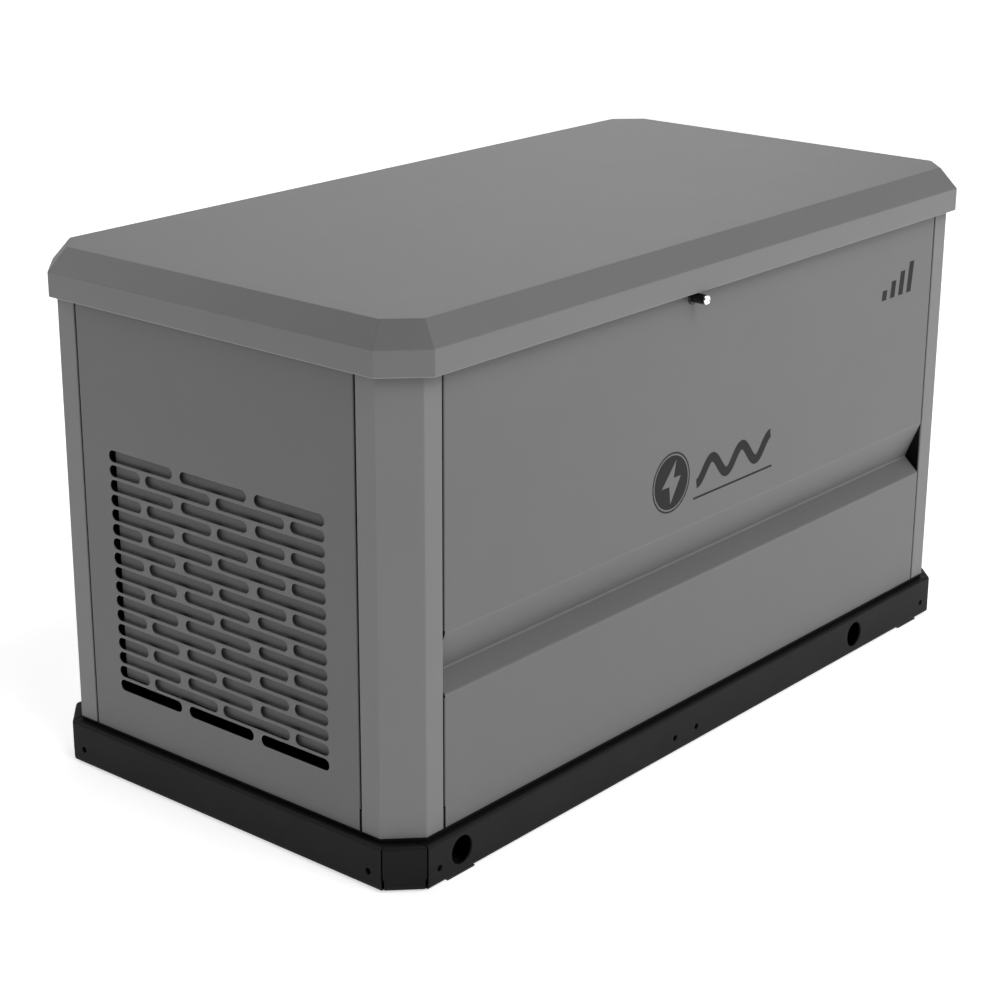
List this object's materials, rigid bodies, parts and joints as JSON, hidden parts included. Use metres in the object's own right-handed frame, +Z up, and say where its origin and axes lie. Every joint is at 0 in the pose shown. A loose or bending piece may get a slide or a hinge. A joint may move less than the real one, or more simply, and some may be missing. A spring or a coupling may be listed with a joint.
{
  "type": "home standby generator",
  "caption": "Standby generator: sheet-metal enclosure with a gas-strutted hinged lid and slotted end panels on a folded steel base, over a V-twin engine and alternator.",
  "frame": {"origin": "on the ground under the middle of the unit", "axes": "+X along the enclosure away from the intake grille, +Y towards the hinged rear, +Z up"},
  "size_m": [1.22, 0.65, 0.6848],
  "materials": {
    "grey_powder_coat": "satin powder coat, fine texture",
    "black_base_coat": "satin black powder coat",
    "zinc_steel": "zinc plated",
    "chrome": "polished",
    "black_rubber": "matt",
    "black_plastic": "fine moulded texture",
    "foam": "acoustic foam",
    "cast_aluminium": "sand cast",
    "machined_steel": "ground",
    "black_enamel": "semi-gloss engine enamel",
    "hot_steel": "heat tinted",
    "copper_windings": "varnished",
    "lamination": "varnished laminations",
    "white_enamel": "gloss",
    "yellow_plastic": "gloss",
    "green_plastic": "satin",
    "red_plastic": "satin",
    "blue_plastic": "satin",
    "brass": "passivated"
  },
  "bodies": {
    "enclosure": {"feet": "black_rubber", "base_long_rails": "black_base_coat", "base_end_rails": "black_base_coat", "base_corner_plates": "black_base_coat", "deck_tray": "black_base_coat", "deck_bolts": "zinc_steel", "corner_posts": "grey_powder_coat", "top_frame": "grey_powder_coat", "front_panel": "grey_powder_coat", "rear_panel": "grey_powder_coat", "left_grille_panel": "grey_powder_coat", "right_grille_panel": "grey_powder_coat", "intake_baffle": "grey_powder_coat", "bulkhead": "zinc_steel", "top_seal": "black_rubber", "hinge_base_leaves": "grey_powder_coat", "hinge_pins": "zinc_steel", "strut_mounts": "zinc_steel", "lock_barrel": "chrome", "engine_cradle": "black_base_coat", "engine_mounts": "black_rubber", "crankcase": "cast_aluminium", "cylinder_barrels": "cast_aluminium", "cylinder_heads": "cast_aluminium", "rocker_covers": "black_enamel", "spark_plugs": "black_rubber", "intake_manifold": "cast_aluminium", "fuel_mixer": "cast_aluminium", "air_filter_box": "black_plastic", "fan_shroud": "black_plastic", "oil_filter": "white_enamel", "starter_motor": "black_enamel", "exhaust_pipes": "hot_steel", "muffler": "hot_steel", "shaft_bearings": "machined_steel", "alternator_housing": "cast_aluminium", "stator_core": "lamination", "alternator_end_bell": "cast_aluminium", "battery": "black_plastic", "control_box": "black_plastic", "gas_regulator": "cast_aluminium", "hoses_and_leads": "black_rubber"},
    "lid": {"lid_shell": "grey_powder_coat", "lid_frame": "grey_powder_coat", "lid_liner": "foam", "lid_hinge_leaves": "grey_powder_coat", "lid_strut_brackets": "zinc_steel", "lock_keeper": "zinc_steel"},
    "strut_tube_pair": {"strut_tubes": "black_enamel"},
    "strut_rod_pair": {"strut_rods": "chrome"},
    "lock_cylinder": {"lock_core": "chrome"},
    "turning_train": {"crankshaft": "machined_steel", "flywheel_fan": "cast_aluminium", "rotor": "copper_windings"},
    "throttle": {"throttle_lever": "brass"},
    "dipstick": {"oil_dipstick": "yellow_plastic"},
    "auto_key": {"auto_button": "green_plastic"},
    "off_key": {"off_button": "red_plastic"},
    "manual_key": {"manual_button": "blue_plastic"},
    "breaker": {"breaker_toggle": "black_plastic"}
  },
  "joints": [
    {"name": "lid_hinge", "type": "hinge", "parent": "enclosure", "child": "lid", "pos_m": [0, 0.319, 0.617], "axis": [-1, 0, 0], "range_deg": [0, 60]},
    {"name": "strut_swing", "type": "hinge", "parent": "enclosure", "child": "strut_tube_pair", "pos_m": [0, 0.22096, 0.46604], "axis": [-1, 0, 0], "range_deg": [0, 30]},
    {"name": "strut_slide", "type": "slide", "parent": "strut_tube_pair", "child": "strut_rod_pair", "axis": [0, -0.454, 0.891], "range_m": [0, 0.1318]},
    {"name": "lock_turn", "type": "hinge", "parent": "enclosure", "child": "lock_cylinder", "pos_m": [-0.062, -0.3, 0.615], "axis": [0, 1, 0], "range_deg": [0, 90]},
    {"name": "crank_spin", "type": "hinge", "parent": "enclosure", "child": "turning_train", "pos_m": [0, 0.03, 0.235], "axis": [1, 0, 0], "continuous": true},
    {"name": "throttle_turn", "type": "hinge", "parent": "enclosure", "child": "throttle", "pos_m": [-0.06, 0.03, 0.47265], "axis": [1, 0, 0], "range_deg": [0, 70]},
    {"name": "dipstick_pull", "type": "slide", "parent": "enclosure", "child": "dipstick", "axis": [0, 0, 1], "range_m": [0, 0.17]},
    {"name": "auto_press", "type": "slide", "parent": "enclosure", "child": "auto_key", "axis": [0, 0, -1], "range_m": [0, 0.0015], "stiffness_N_per_m": 400},
    {"name": "off_press", "type": "slide", "parent": "enclosure", "child": "off_key", "axis": [0, 0, -1], "range_m": [0, 0.0015], "stiffness_N_per_m": 400},
    {"name": "manual_press", "type": "slide", "parent": "enclosure", "child": "manual_key", "axis": [0, 0, -1], "range_m": [0, 0.0015], "stiffness_N_per_m": 400},
    {"name": "breaker_flip", "type": "hinge", "parent": "enclosure", "child": "breaker", "pos_m": [0.161, -0.237, 0.604], "axis": [-1, 0, 0], "range_deg": [0, 40]}
  ],
  "couplings": [
    {"joint": "strut_swing", "follows": "lid_hinge", "ratio": 0.5},
    {"joint": "strut_slide", "follows": "lid_hinge", "m_per_rad": 0.12583}
  ]
}
